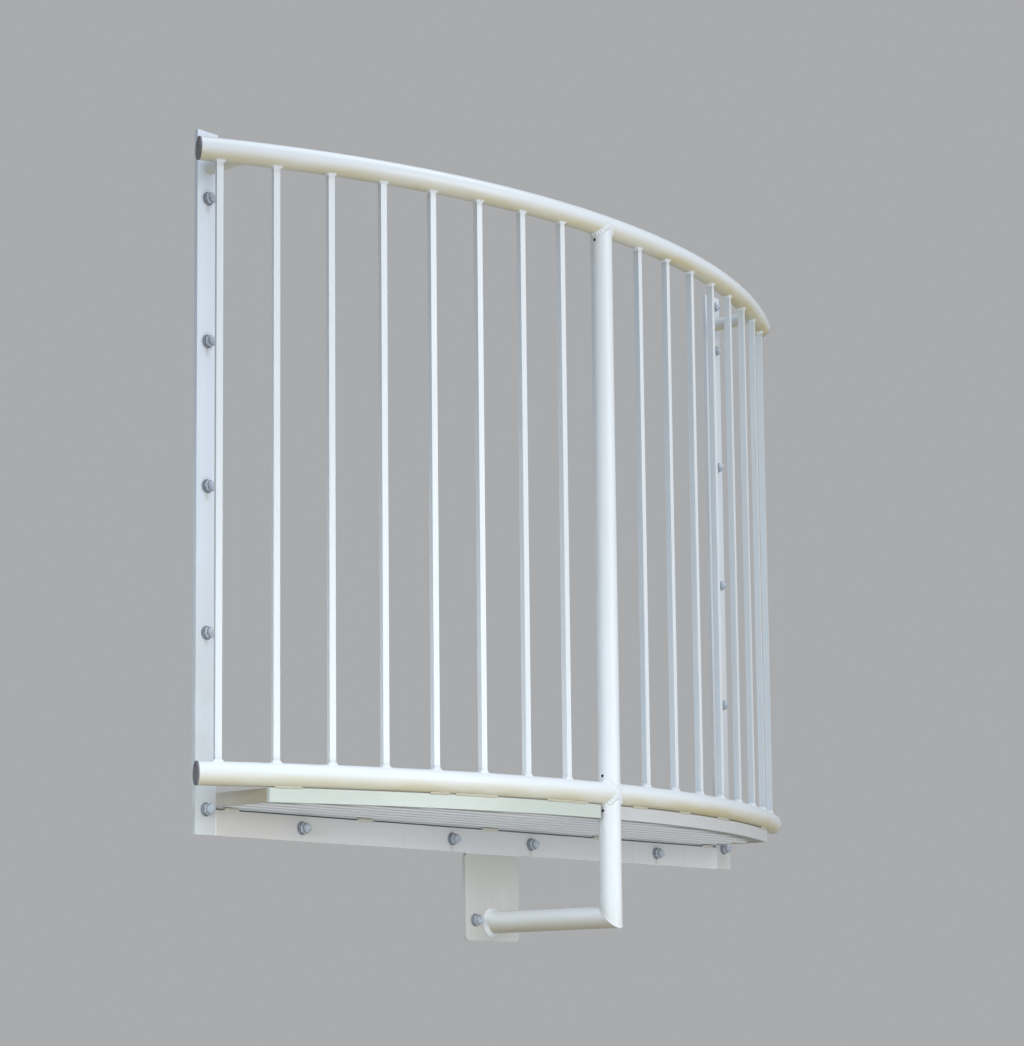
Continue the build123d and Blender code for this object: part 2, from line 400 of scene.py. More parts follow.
def weld_pad(bm, stations, bulge, sink, seed):
    """Lays one lumpy pad across a gap, along stations of (foot a, foot b, outward)."""
    toe = toe_layer(bm)
    count = len(stations)
    rings = []
    for i, (foot_a, foot_b, outward) in enumerate(stations):
        end = min(i, count - 1 - i) * WELD_STEP / PAD_TAPER
        grow = math.sqrt(min(1.0, end) * (2 - min(1.0, end)))
        wave = math.sin(2 * math.pi * i * WELD_STEP / PAD_RIPPLE_PITCH + seed)
        swell = PAD_END_WIDTH + (1 - PAD_END_WIDTH) * grow
        rise = bulge * (PAD_END_CROWN + (1 - PAD_END_CROWN) * grow)
        middle = (foot_a + foot_b) / 2
        wander = 1 + PAD_WANDER * noise.noise(Vector((i * 0.17, seed * 5.1, 0)))
        a = middle + (foot_a - middle) * swell * wander
        b = middle + (foot_b - middle) * swell
        ring = [a - outward * sink]
        for t in ACROSS_PAD:
            crown = rise * math.sin(math.pi * t) ** PAD_FULLNESS
            ripple = PAD_RIPPLE * wave * math.sin(math.pi * t)
            ring.append(a.lerp(b, t) + outward * (crown + ripple))
        ring.append(b - outward * sink)
        rings.append([bm.verts.new(point) for point in ring])
        rings[-1][1][toe] = rings[-1][-2][toe] = 1.0
    skin(bm, rings)


def edging_pad(bm, start, end, seed):
    """Weld pad between the deck edging and the bottom rail, between two arc lengths."""
    axis = Vector((0, BOW_AXIS_Y, 0))
    rail_skin = BOTTOM_RAIL_Z - math.sqrt(TUBE_RADIUS**2 - EDGING_PAD_REACH**2)
    steps = int((end - start) / WELD_STEP)
    stations = []
    for i in range(steps + 1):
        angle = (start + (end - start) * i / steps) / BOW_RADIUS
        away = Vector((math.sin(angle), -math.cos(angle), 0))
        low = axis + away * EDGING_RADIUS
        low.z = edging_high.z - EDGING_PAD_LAP
        high = axis + away * (BOW_RADIUS + EDGING_PAD_REACH)
        high.z = rail_skin
        stations.append((low, high, away))
    weld_pad(bm, stations, EDGING_PAD_BULGE, EDGING_PAD_LAP, seed)


def sill_pad(bm, start, end, seed):
    """Weld pad between the sill plate's top edge and the deck sheet."""
    out_of_wall = Vector((0, -1, 0))
    steps = int((end - start) / WELD_STEP)
    stations = []
    for i in range(steps + 1):
        x = start + (end - start) * i / steps
        scallop = PAD_SCALLOP * math.sin(2 * math.pi * x / PAD_SCALLOP_PITCH + seed)
        low = Vector((x, PLATE_FACE_Y, sill_high.z - SILL_PAD_LAP + scallop))
        high = Vector((x, PLATE_FACE_Y - 1 * MM, deck_low.z - 1 * MM))
        stations.append((low, high, out_of_wall))
    recess = strip_low.y - PLATE_FACE_Y
    weld_pad(bm, stations, SILL_PAD_BULGE, recess + 1 * MM, seed)


def bar_places():
    """Number, middle and turn about the bow's axis of each square bar."""
    for i in range(1, BAR_COUNT + 1):
        low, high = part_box(f"baluster_{i:02d}")
        centre = (low + high) / 2
        yield i, centre, math.atan2(centre.x, BOW_AXIS_Y - centre.y)


def build_bar_welds(paint):
    """Welds at the heads and feet of the bars."""
    tops, feet = bmesh.new(), bmesh.new()
    outline = rounded_square(BAR_HALF, BAR_CORNER, WELD_STEP)
    for i, centre, angle in bar_places():
        member_on_rail(tops, centre, angle, outline, HANDRAIL_Z, -1, BAR_TOP_LEG, i)
        member_on_rail(feet, centre, angle, outline, BOTTOM_RAIL_Z, 1, BAR_BOTTOM_LEG, i + 20)
    new_object("baluster_top_welds", tops, paint)
    new_object("baluster_foot_welds", feet, paint)


def build_post_welds(paint):
    """Welds of the post at both rails, of the elbow, and of the strut at the drop plate."""
    posts = bmesh.new()
    outline = circle_outline(POST_RADIUS)
    post = Vector((0, POST_Y, 0))
    joints = ((HANDRAIL_Z, -1, 41), (BOTTOM_RAIL_Z, 1, 42), (BOTTOM_RAIL_Z, -1, 43))
    for height, side, seed in joints:
        member_on_rail(posts, post, 0, outline, height, side, POST_LEG, seed, COARSE_RIPPLE)
    mitre_weld(posts)
    tube_on_plate(posts, Vector((0, PLATE_FACE_Y, STRUT_Z)), POST_RADIUS, STRUT_LEG, 44)
    new_object("post_and_strut_welds", posts, paint)


def build_standoff_welds(paint):
    """Welds at both ends of the standoffs."""
    standoffs = bmesh.new()
    for side in (-1, 1):
        foot = Vector((side * STANDOFF_X, PLATE_FACE_Y, HANDRAIL_Z))
        tube_on_plate(standoffs, foot, STANDOFF_RADIUS, STANDOFF_LEG, 50 + side)
        standoff_on_rail(standoffs, side, 60 + side)
    new_object("standoff_welds", standoffs, paint)


def build_deck_pads(edging_paint, sill_paint):
    """Stitch welds that hold the deck to the bottom rail and to the sill plate."""
    under_rail, on_sill = bmesh.new(), bmesh.new()
    for i, (start, end) in enumerate(EDGING_PADS):
        edging_pad(under_rail, start, end, 70 + i)
    for i, (middle, length) in enumerate(SILL_PADS):
        sill_pad(on_sill, middle - length / 2, middle + length / 2, 80 + i)
    new_object("deck_edging_welds", under_rail, edging_paint)
    new_object("deck_sill_welds", on_sill, sill_paint)


def build_plate_seams(paint):
    """Seams between the wall plates, the sill plate and the drop plate."""
    seams = bmesh.new()
    for side in (-1, 1):
        x = side * plate_low.x
        start = Vector((x, PLATE_FACE_Y, sill_low.z + SEAM_INSET))
        end = Vector((x, PLATE_FACE_Y, sill_high.z - SEAM_INSET))
        plate_seam(seams, start, end, Vector((-1, 0, 0)), 90 + side)
    start = Vector((drop_low.x + MM, PLATE_FACE_Y, drop_high.z))
    end = Vector((drop_high.x - MM, PLATE_FACE_Y, drop_high.z))
    plate_seam(seams, start, end, Vector((0, 0, 1)), 95)
    new_object("plate_seam_welds", seams, paint)


def build_welds():
    """Lays every weld, in order."""
    paint = white_paint("paint_weld", dirt_and_shade=weld_toes, rust=0.15, peel=1.6)
    pad_paint = white_paint("paint_pad", PAD_CREAM, dirt_and_shade=weld_toes, rust=0.4, peel=1.6)
    sill_paint = white_paint("paint_sill_pad", CREAM, dirt_and_shade=weld_toes, rust=0.4, peel=1.6)
    build_bar_welds(paint)
    build_post_welds(paint)
    build_standoff_welds(paint)
    build_deck_pads(pad_paint, sill_paint)
    build_plate_seams(paint)


def lathe(bm, centre, profile, steps, turn=0.0, flats=None):
    """Turns (radius, rise) rows about an axis that points out of the wall.

    A row whose third value is true follows the flats of a hexagon.
    """
    rings = []
    for radius, rise, *hexed in profile:
        ring = []
        for i in range(steps):
            swing = 2 * math.pi * i / steps
            r = radius
            if hexed and hexed[0]:
                sector = (swing % (math.pi / 3)) - math.pi / 6
                r = min(flats / math.cos(sector), radius)
            a = swing + turn
            point = centre + Vector((r * math.cos(a), -rise, r * math.sin(a)))
            ring.append(bm.verts.new(point))
        rings.append(ring)
    skin(bm, rings)


def anchor_places():
    """Places of the anchors' axes on the plates' front face."""
    for side in (-1, 1):
        for z in COLUMN_Z:
            yield Vector((side * COLUMN_X, PLATE_FACE_Y, z))
        for x in SILL_ANCHOR_X:
            yield Vector((side * x, PLATE_FACE_Y, SILL_ANCHOR_Z))
        yield Vector((side * DROP_ANCHOR_X, PLATE_FACE_Y, DROP_ANCHOR_Z))


def washer_profile():
    """A flat washer with soft edges."""
    r, t, edge = WASHER_RADIUS, WASHER_THICKNESS, 0.5 * MM
    return [
        (WASHER_BORE_RADIUS, 0.05 * MM),
        (r - edge, 0.05 * MM),
        (r - 0.15 * MM, 0.2 * MM),
        (r, edge),
        (r, t - 2 * edge),
        (r - 0.25 * MM, t - 0.35 * MM),
        (r - 1.1 * MM, t),
        (WASHER_BORE_RADIUS, t),
    ]


def lock_washer_profile():
    """A thicker, smaller washer with round edges, between the flat washer and the nut."""
    middle = LOCK_WASHER_RADIUS - LOCK_WASHER_EDGE
    rows = [(WASHER_BORE_RADIUS, WASHER_THICKNESS)]
    edges = ((WASHER_THICKNESS + LOCK_WASHER_EDGE, -1), (NUT_BASE - LOCK_WASHER_EDGE, 1))
    for rise, turn in edges:
        for i in range(4):
            swing = math.pi / 2 * (3 - i if turn < 0 else i) / 3
            radius = middle + LOCK_WASHER_EDGE * math.cos(swing)
            rows.append((radius, rise + turn * LOCK_WASHER_EDGE * math.sin(swing)))
    return rows + [(WASHER_BORE_RADIUS, NUT_BASE)]


def nut_profile():
    """A hexagon nut with chamfered ends, a short neck and a dome."""
    flats = NUT_ACROSS_FLATS / 2
    corner = flats / math.cos(math.pi / 6)
    base = NUT_BASE
    top = base + NUT_HEX_HEIGHT
    neck = top + NUT_NECK
    rows = [
        (flats * 0.90, base, False),
        (flats * 0.955, base + 0.3 * MM, False),
        (corner * 0.955, base + 0.9 * MM, True),
        (corner, base + 1.9 * MM, True),
    ]
    rows += [(corner, base + NUT_HEX_HEIGHT * k, True) for k in (0.4, 0.55, 0.7)]
    rows += [
        (corner, top - 1.6 * MM, True),
        (corner * 0.955, top - 0.8 * MM, True),
        (flats * 0.975, top - 0.3 * MM, True),
        (flats * 0.93, top, False),
        (NUT_DOME_RADIUS - 0.2 * MM, top + 0.02 * MM, False),
        (NUT_DOME_RADIUS, neck, False),
    ]
    for i in range(NUT_DOME_STEPS):
        swing = math.pi / 2 * i / NUT_DOME_STEPS
        rise = neck + NUT_DOME_RADIUS * math.sin(swing)
        rows.append((NUT_DOME_RADIUS * math.cos(swing), rise, False))
    rows.append((0.4 * MM, neck + NUT_DOME_RADIUS, False))
    return rows


def stud_profile():
    """The threaded stud in its hole, cut flush with the wall side of the plate."""
    crest = STUD_RADIUS - 0.1 * MM
    valley = crest - THREAD_DEPTH
    start = PLATE_FACE_Y + 0.3 * MM
    rows = [(STUD_RADIUS - 1.6 * MM, start), (valley, start)]
    rise = start + 0.7 * MM
    while rise < STUD_END:
        rows.append((crest, rise))
        rows.append((valley, rise + THREAD_PITCH / 2))
        rise += THREAD_PITCH
    return rows


def build_anchors():
    """Washers, dome nuts and studs of every anchor."""
    zinc = anchor_zinc()
    nuts, washers, studs = bmesh.new(), bmesh.new(), bmesh.new()
    for i, place in enumerate(anchor_places()):
        lathe(washers, place, washer_profile(), WASHER_STEPS)
        lathe(washers, place, lock_washer_profile(), WASHER_STEPS)
        lathe(nuts, place, nut_profile(), NUT_STEPS, NUT_TURN * i, NUT_ACROSS_FLATS / 2)
        lathe(studs, place, stud_profile(), STUD_STEPS)
    new_object("anchor_washers", washers, zinc)
    new_object("anchor_dome_nuts", nuts, zinc)
    new_object("anchor_studs", studs, zinc)


class Nodes:
    """Short hand for wiring the node tree of one material or world."""

    def __init__(self, owner, output="ShaderNodeOutputMaterial"):
        owner.use_nodes = True
        self.tree = owner.node_tree
        self.tree.nodes.clear()
        self.output = self.add(output)

    def add(self, kind, **settings):
        node = self.tree.nodes.new(kind)
        for key, value in settings.items():
            setattr(node, key, value)
        return node

    def link(self, source, target):
        self.tree.links.new(source, target)

    def set(self, node, name, value):
        if isinstance(value, bpy.types.NodeSocket):
            self.link(value, node.inputs[name])
        else:
            node.inputs[name].default_value = value

    def math(self, operation, a, b=0.0, clamp=False):
        node = self.add("ShaderNodeMath", operation=operation, use_clamp=clamp)
        self.set(node, 0, a)
        self.set(node, 1, b)
        return node.outputs[0]

    def plus(self, a, b, clamp=False):
        return self.math("ADD", a, b, clamp)

    def minus(self, a, b):
        return self.math("SUBTRACT", a, b)

    def times(self, a, b, clamp=False):
        return self.math("MULTIPLY", a, b, clamp)

    def most(self, first, *others):
        for other in others:
            first = self.math("MAXIMUM", first, other)
        return first

    def gap(self, a, b):
        """The distance between two numbers."""
        return self.math("ABSOLUTE", self.minus(a, b))

    def axes(self, vector):
        node = self.add("ShaderNodeSeparateXYZ")
        self.link(vector, node.inputs[0])
        return node.outputs

    def flat_vector(self, a, b):
        node = self.add("ShaderNodeCombineXYZ")
        self.set(node, 0, a)
        self.set(node, 1, b)
        return node.outputs[0]

    def length(self, vector):
        node = self.add("ShaderNodeVectorMath", operation="LENGTH")
        self.link(vector, node.inputs[0])
        return node.outputs["Value"]

    def dot(self, vector, other):
        node = self.add("ShaderNodeVectorMath", operation="DOT_PRODUCT")
        self.link(vector, node.inputs[0])
        self.set(node, 1, other)
        return node.outputs["Value"]

    def unit(self, vector):
        node = self.add("ShaderNodeVectorMath", operation="NORMALIZE")
        self.link(vector, node.inputs[0])
        return node.outputs[0]

    def stretch(self, vector, scale):
        node = self.add("ShaderNodeMapping")
        self.set(node, "Vector", vector)
        self.set(node, "Scale", scale)
        return node.outputs[0]

    def noise(self, vector, scale, detail, roughness=0.55):
        node = self.add("ShaderNodeTexNoise")
        self.set(node, "Vector", vector)
        self.set(node, "Scale", scale)
        self.set(node, "Detail", detail)
        self.set(node, "Roughness", roughness)
        return node.outputs["Fac"]

    def ramp(self, value, low, high, to_low=0.0, to_high=1.0):
        node = self.add("ShaderNodeMapRange", interpolation_type="SMOOTHSTEP")
        self.set(node, "Value", value)
        self.set(node, "From Min", low)
        self.set(node, "From Max", high)
        self.set(node, "To Min", to_low)
        self.set(node, "To Max", to_high)
        return node.outputs[0]

    def fade(self, value, low, high):
        """One below low and nothing above high."""
        return self.ramp(value, low, high, 1.0, 0.0)

    def cloud(self, vector, scale, detail, span, reach=(0.0, 1.0), roughness=0.55):
        """Noise whose span of levels is spread over a reach."""
        return self.ramp(self.noise(vector, scale, detail, roughness), *span, *reach)

    def mix(self, factor, a, b):
        node = self.add("ShaderNodeMix", data_type="RGBA")
        self.set(node, "Factor", factor)
        self.set(node, 6, a)
        self.set(node, 7, b)
        return node.outputs[2]

    def mix_shaders(self, factor, a, b):
        node = self.add("ShaderNodeMixShader")
        self.link(factor, node.inputs[0])
        self.link(a, node.inputs[1])
        self.link(b, node.inputs[2])
        return node.outputs[0]

    def bump(self, height, strength, distance):
        node = self.add("ShaderNodeBump")
        self.set(node, "Height", height)
        self.set(node, "Strength", strength)
        self.set(node, "Distance", distance)
        return node.outputs[0]


# Whites of the paint. Besides the plain white and its chalk, the whites of the plates are lit
# and shaded copies of one paint: painted light and shade that make each plate lighter,
# darker, bluer or warmer.
WHITE = (0.80, 0.815, 0.825, 1)
CHALK = (0.74, 0.76, 0.765, 1)
PLATE_WHITE = (0.765, 0.815, 0.87, 1)
SHADED_WHITE = (0.745, 0.765, 0.79, 1)
LOW_WHITE = (0.735, 0.73, 0.715, 1)
SILL_WHITE = (0.82, 0.82, 0.83, 1)
# painted light: the strut's white is brighter than the paint elsewhere
STRUT_LIT_WHITE = (0.90, 0.91, 0.925, 1)
# painted shade: the edgings' whites are darker than the paint, the left one green-tinted as
# painted reflected light
EDGING_SHADE_WHITE = (0.575, 0.605, 0.545, 1)
RIGHT_EDGING_SHADE_GREY = (0.615, 0.605, 0.59, 1)
# painted shade: the return's white is darker and warmer than the paint
RETURN_SHADE_WHITE = (0.53, 0.48, 0.41, 1)
# painted light: the sheet's white is brighter than the paint elsewhere, for its lit rib sides
RIB_LIT_WHITE = (0.94, 0.94, 0.94, 1)
# painted shade on the ribs' undersides
SOFFIT_SHADE_GREY = (0.745, 0.725, 0.765, 1)
CREAM = (0.68, 0.65, 0.55, 1)
PAD_CREAM = (0.56, 0.52, 0.41, 1)
CHALKING = 0.93

# Films and dirt on it, and the tones of painted shade
# tan of dust and of painted warm bounce light under the tubes
DUST_AND_WARM_BOUNCE = (0.60, 0.51, 0.28, 1)
# dust and painted shade low on the plates
PLATE_DUST_AND_SHADE = (0.52, 0.50, 0.45, 1)
SILL_VEIL_BROWN = (0.50, 0.435, 0.345, 1)
# dust and painted shade under the strut
STRUT_DUST_AND_SHADE = (0.42, 0.35, 0.20, 1)
# painted shade on the returns
RETURN_SHADE_BROWN = (0.38, 0.32, 0.21, 1)
# painted shade for the side faces of the bars
COOL_SIDE_SHADE = (0.42, 0.50, 0.56, 1)
# grime, also laid as painted shadow on the bottom rail and the deck sheet
GRIME_AND_SHADE = (0.30, 0.275, 0.235, 1)
RUST = (0.30, 0.15, 0.07, 1)
# painted shade inside the post
BORE_SHADE_DARK = (0.05, 0.05, 0.05, 1)

# Zinc and plastic
ZINC_DARK = (0.52, 0.565, 0.63, 1)
ZINC_LIGHT = (0.70, 0.75, 0.82, 1)
# dark oxide in the anchors' joints, also laid as painted shadow on the bearing strip
OXIDE_AND_SHADE_DARK = (0.12, 0.12, 0.12, 1)
CAP_DARK = (0.135, 0.13, 0.142, 1)
CAP_LIGHT = (0.205, 0.198, 0.21, 1)
CAP_DUST = (0.33, 0.31, 0.28, 1)


# Where films, dirt and painted shade start and end, in metres
RING_REACH = (13 * MM, 22 * MM)
RUN_HALF_WIDTH = (4 * MM, 10 * MM)
RUN_TOP = (6 * MM, 12 * MM)
RUN_END = (14 * MM, 34 * MM)
PLATE_FILM_AND_SHADE_HEIGHTS = (-0.02, 0.8)
SPLASH_HEIGHTS = (-0.03, 0.06)
SILL_VEIL_SPAN = (-0.75, -0.25)
RETURN_SHADE_SPAN = (-0.12, -0.02)
RIM_SHADOW_WIDTHS = (48 * MM, 20 * MM)
JOINT_GRIME_REACH = (5 * MM, 13 * MM)


# Masks: each takes the nodes and the position on the surface, and is one where its dirt, film
# or painted shade is
def anchor_rings(n, position):
    """Creamy rings round the anchors with a short run below each, on both sides alike."""
    x, _, z = n.axes(position)
    x = n.math("ABSOLUTE", x)
    wobble = n.times(n.noise(n.stretch(position, (60, 60, 12)), 1.0, 3.0), 5 * MM)
    places = [(COLUMN_X, height) for height in COLUMN_Z]
    places += [(at, SILL_ANCHOR_Z) for at in SILL_ANCHOR_X]
    places += [(DROP_ANCHOR_X, DROP_ANCHOR_Z)]
    masks = []
    for place_x, place_z in places:
        across = n.plus(n.gap(x, place_x), wobble)
        below = n.minus(place_z, z)
        away = n.length(n.flat_vector(across, below))
        masks.append(n.ramp(away, *RING_REACH, 0.6, 0))
        run = n.times(n.fade(across, *RUN_HALF_WIDTH), n.ramp(below, *RUN_TOP))
        masks.append(n.times(run, n.fade(below, *RUN_END)))
    return n.most(*masks)


def plate_film_and_shade(n, position):
    """Rings round the anchors, splash dirt at the plates' feet, and a film of dust and
    painted shade that grows towards the plates' lower ends.
    """
    height = n.axes(position)[2]
    patchy = n.cloud(position, 9.0, 3.0, (0.3, 0.7), (0.55, 1.0))
    broad = n.ramp(height, *PLATE_FILM_AND_SHADE_HEIGHTS, 0.9, 0)
    splash = n.ramp(height, *SPLASH_HEIGHTS, 0.5, 0)
    return n.most(n.times(n.plus(broad, splash), patchy, True), anchor_rings(n, position))


def sill_rings_and_veil(n, position):
    """Rings round the anchors and a dull veil that thickens towards the sill's left end."""
    veil = n.ramp(n.axes(position)[0], *SILL_VEIL_SPAN, 1.0, 0.25)
    return n.most(anchor_rings(n, position), veil)


def tube_underside_dust_and_bounce(n, position):
    """Dust and painted warm bounce light and shade on the lower part of the lying tubes,
    thicker on their right.
    """
    x, _, height = n.axes(position)
    masks = []
    for level, top in ((HANDRAIL_Z, 1 * MM), (BOTTOM_RAIL_Z, 10 * MM)):
        bottom = level - TUBE_RADIUS
        film_and_shade = n.fade(height, bottom + 3 * MM, level + top)
        masks.append(n.times(film_and_shade, n.ramp(height, bottom - 2 * MM, bottom)))
    streaky = n.cloud(n.stretch(position, (9, 9, 40)), 1.0, 3.0, (0.3, 0.65), (0.65, 1.0))
    film_and_shade = n.times(n.most(*masks), streaky)
    return n.times(film_and_shade, n.ramp(x, 0.0, 0.5, 1.0, 1.33))


def strut_dust_and_shade(n, position):
    """Dust and painted shade that thicken from the strut's upper side to its underside."""
    return n.fade(n.axes(position)[2], STRUT_Z - POST_RADIUS, STRUT_Z + 12 * MM)


def elbow_dust_and_shade(n, position):
    """The strut's dust and painted shade fading out up the post from the elbow."""
    _, y, height = n.axes(position)
    low = n.fade(height, STRUT_Z - POST_RADIUS, STRUT_Z + 2 * POST_RADIUS)
    return n.times(low, n.ramp(y, POST_Y - POST_RADIUS, POST_Y + POST_RADIUS, 0.3, 1.0))


def return_shade(n, position):
    """Painted shade: a warm brown darkening on the deck's ends, thicker away from the wall.
    """
    return n.fade(n.axes(position)[1], *RETURN_SHADE_SPAN)


def from_bow_axis(n, position):
    """The vector that leads from the bow's upright axis to the surface."""
    x, y, _ = n.axes(position)
    return n.flat_vector(x, n.minus(y, BOW_AXIS_Y))


def bar_side_shade(n, position):
    """Painted shade: a cool, darker tone on the side faces of the bars right of the post."""
    normal = n.add("ShaderNodeTexCoord").outputs["Normal"]
    facing = n.dot(normal, n.unit(from_bow_axis(n, position)))
    side = n.fade(n.math("ABSOLUTE", facing), 0.3, 0.8)
    return n.times(side, n.ramp(n.axes(position)[0], 0.0, 0.04))


def rim_shadow_line(n, position):
    """Painted shadow: a dark line on the deck sheet behind the foot of the bowed edging."""
    radius = n.length(from_bow_axis(n, position))
    start, end = RIM_SHADOW_WIDTHS
    return n.ramp(radius, BOW_RADIUS - start, BOW_RADIUS - end)


def rib_underside_shade(n, position):
    """Painted shade on the undersides of the deck's ribs, their sides left the sheet's bright
    white.
    """
    return n.fade(n.axes(position)[2], deck_low.z + 0.05 * MM, deck_low.z + 0.3 * MM)


def strip_shadow(n, position):
    """Painted shadow: dark lower half of the strip, between the sill plate and the folded
    sheet.
    """
    middle = (strip_low.z + strip_high.z) / 2
    return n.fade(n.axes(position)[2], middle - 0.3 * MM, middle + 0.3 * MM)


def post_bore_shade(n, position):
    """Painted shade: near-black on the inside of the post, behind its vent holes."""
    x, y, height = n.axes(position)
    radius = n.length(n.flat_vector(x, n.minus(y, POST_Y)))
    inside = n.fade(radius, POST_RADIUS - 0.9 * MM, POST_RADIUS - 0.3 * MM)
    top, bottom = BOTTOM_RAIL_Z + TUBE_RADIUS, BOTTOM_RAIL_Z - TUBE_RADIUS
    clear_of_rail = n.most(n.ramp(height, top, top + MM), n.fade(height, bottom - MM, bottom))
    return n.times(inside, clear_of_rail)


def rail_slit_shadow(n, position):
    """Painted shadow along the bottom rail's lowest line, in the slit over the deck edging,
    reaching higher on the right.
    """
    x, _, height = n.axes(position)
    bottom = BOTTOM_RAIL_Z - TUBE_RADIUS
    top = n.plus(n.ramp(x, 0.0, 0.1, 1.1 * MM, 7 * MM), bottom)
    line = n.ramp(height, bottom + 0.3 * MM, top, 0.85, 0)
    line = n.times(line, n.ramp(height, bottom - 1 * MM, bottom))
    return n.times(line, n.cloud(position, 7.0, 2.0, (0.35, 0.5)))


def rail_joints(n, position):
    """Grime on upright members where they stand on or hang from a rail."""
    height = n.axes(position)[2]
    levels = (BOTTOM_RAIL_Z + TUBE_RADIUS, HANDRAIL_Z - TUBE_RADIUS)
    near = n.most(*[n.fade(n.gap(height, level), *JOINT_GRIME_REACH) for level in levels])
    return n.times(near, n.times(n.cloud(position, 60.0, 2.0, (0.35, 0.65)), 0.22))


def weld_toes(n, position):
    """Blotchy grime along the toes of the welds."""
    toe = n.add("ShaderNodeAttribute", attribute_name="toe").outputs["Fac"]
    blotch = n.cloud(position, 120.0, 2.0, (0.35, 0.7), (0.2, 1.0))
    return n.times(n.times(toe, blotch), 0.3)


def rust_specks(n, position):
    """Small specks, in patches."""
    speck = n.cloud(position, 170.0, 3.0, (0.68, 0.74))
    return n.times(speck, n.cloud(position, 14.0, 2.0, (0.6, 0.68)))


# Finishes
def start_material(name):
    """A new material, its nodes, the position on the surface, and its shader."""
    material = bpy.data.materials.new(name)
    n = Nodes(material)
    position = n.add("ShaderNodeTexCoord").outputs["Object"]
    shader = n.add("ShaderNodeBsdfPrincipled")
    n.link(shader.outputs[0], n.output.inputs[0])
    return material, n, position, shader


def white_paint(
    name, base=WHITE, film_and_shade=None, haze_and_shade=DUST_AND_WARM_BOUNCE, amount=0.4, dirt_and_shade=None, tone_and_shade=GRIME_AND_SHADE,
    streaks=0.0, rust=0.0, gloss=1.0, peel=1.0,
):
    """Gloss paint on steel.

    The film mask lays a veil of the haze colour and the dirt mask a covering of the tone
    colour; on some parts they carry dirt and film, on others painted shade.
    streaks and rust say how much rain marks and rust show, and peel how uneven the paint is.
    """
    material, n, position, shader = start_material(name)
    chalked = CHALK if base == WHITE else tuple(CHALKING * v for v in base[:3]) + (1,)
    colour = n.mix(n.cloud(position, 3.5, 1.0, (0.3, 0.75), (0.0, 0.3)), base, chalked)
    rain = n.stretch(position, (70, 70, 1.6))
    soiled_and_shaded = n.cloud(rain, 1.0, 2.0, (0.5, 0.85), (0.0, streaks))
    colour = n.mix(soiled_and_shaded, colour, GRIME_AND_SHADE)
    if dirt_and_shade:
        mask = dirt_and_shade(n, position)
        colour = n.mix(mask, colour, tone_and_shade)
        soiled_and_shaded = n.most(soiled_and_shaded, mask)
    if film_and_shade:
        veil = n.times(film_and_shade(n, position), amount)
        colour = n.mix(veil, colour, haze_and_shade)
        soiled_and_shaded = n.most(soiled_and_shaded, veil)
    if rust:
        colour = n.mix(n.times(rust_specks(n, position), rust), colour, RUST)
    n.link(colour, shader.inputs["Base Color"])

    rough = n.cloud(position, 20.0, 2.0, (0.3, 0.7), (0.28, 0.32))
    n.link(n.plus(rough, n.times(soiled_and_shaded, 0.3), True), shader.inputs["Roughness"])
    n.set(shader, "Coat Weight", 0.3 * gloss)
    n.set(shader, "Coat Roughness", 0.1)
    fine, sag = n.noise(position, 300.0, 2.0), n.noise(position, 30.0, 2.0)
    uneven = n.bump(n.plus(n.times(fine, 0.06), sag), 0.1 * peel, 0.4 * MM)
    n.link(uneven, shader.inputs["Normal"])
    return material


def cap_plastic():
    """Moulded dark plastic of the tube inserts."""
    material, n, position, shader = start_material("cap_insert_plastic")
    colour = n.mix(n.cloud(position, 70.0, 4.0, (0.3, 0.7)), CAP_DARK, CAP_LIGHT)
    dust = n.times(n.cloud(position, 300.0, 3.0, (0.55, 0.75)), 0.25)
    n.link(n.mix(dust, colour, CAP_DUST), shader.inputs["Base Color"])
    rough = n.cloud(position, 240.0, 3.0, (0.3, 0.7), (0.42, 0.62))
    n.link(rough, shader.inputs["Roughness"])
    grain = n.noise(position, 1800.0, 2.0)
    n.link(n.bump(grain, 0.25, 0.2 * MM), shader.inputs["Normal"])
    return material


def anchor_zinc():
    """Dull zinc plate, dark where the washers, the nut and its dome meet."""
    material, n, position, shader = start_material("anchor_zinc_plate")
    bloom = n.cloud(position, 150.0, 5.0, (0.35, 0.68), roughness=0.65)
    rise = n.minus(PLATE_FACE_Y, n.axes(position)[1])
    joints = (0.0, WASHER_THICKNESS, NUT_BASE, NUT_BASE + NUT_HEX_HEIGHT)
    rings = [n.ramp(n.gap(rise, joint), 0.3 * MM, 0.9 * MM, 0.7, 0) for joint in joints]
    oxide = n.most(*rings)
    colour = n.mix(oxide, n.mix(bloom, ZINC_DARK, ZINC_LIGHT), OXIDE_AND_SHADE_DARK)
    n.link(colour, shader.inputs["Base Color"])
    n.set(shader, "Metallic", 0.45)
    rough = n.cloud(position, 420.0, 4.0, (0.3, 0.7), (0.28, 0.45))
    n.link(n.plus(rough, n.times(oxide, 0.3)), shader.inputs["Roughness"])
    pits = n.noise(position, 1300.0, 3.0)
    n.link(n.bump(pits, 0.3, 0.25 * MM), shader.inputs["Normal"])
    return material


